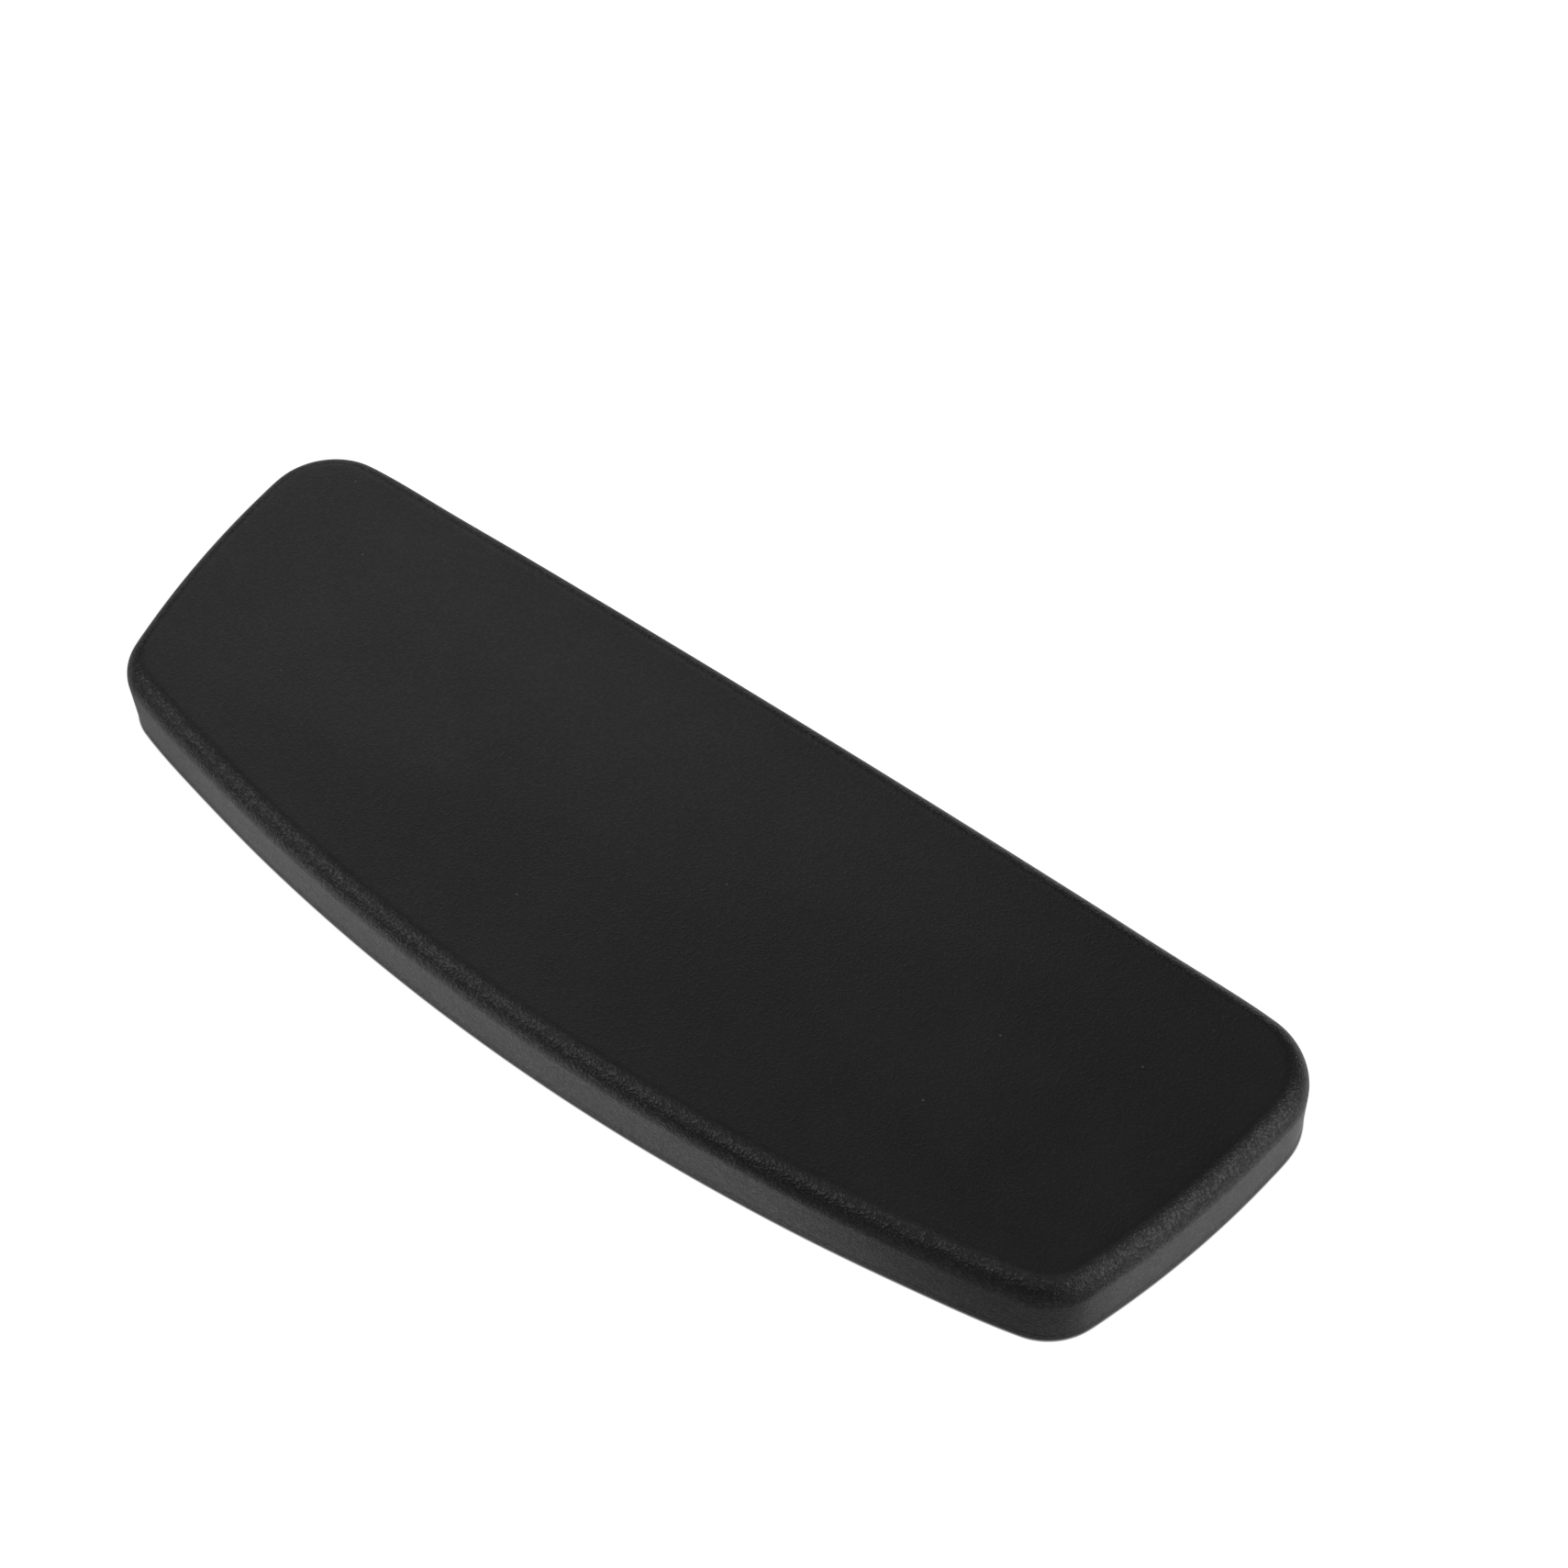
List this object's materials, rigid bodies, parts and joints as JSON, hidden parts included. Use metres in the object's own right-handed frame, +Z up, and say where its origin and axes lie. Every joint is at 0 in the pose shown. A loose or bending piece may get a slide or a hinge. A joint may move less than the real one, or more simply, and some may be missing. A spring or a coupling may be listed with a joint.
{
  "type": "chair armrest pad",
  "caption": "Flat moulded armrest pad with a straight side, a bowed side and tapered ends, padded round a ribbed carrier plate with threaded inserts beneath.",
  "frame": {"origin": "on the underside, at the centre of the rectangle of threaded inserts, which is also the middle of the pad's length and width", "axes": "+X along the pad's length, +Y towards its bowed outer side, +Z up to the elbow face"},
  "size_m": [0.254, 0.0882, 0.0174],
  "materials": {
    "skin": "satin black moulded polyurethane with a fine grain",
    "foam": "dark cellular polyurethane foam",
    "carrier": "black glass-filled nylon with a fine texture",
    "insert": "turned and knurled"
  },
  "bodies": {
    "root": {"outer_skin": "skin", "foam_core": "foam", "carrier_plate": "carrier", "threaded_inserts": "insert"}
  },
  "joints": []
}
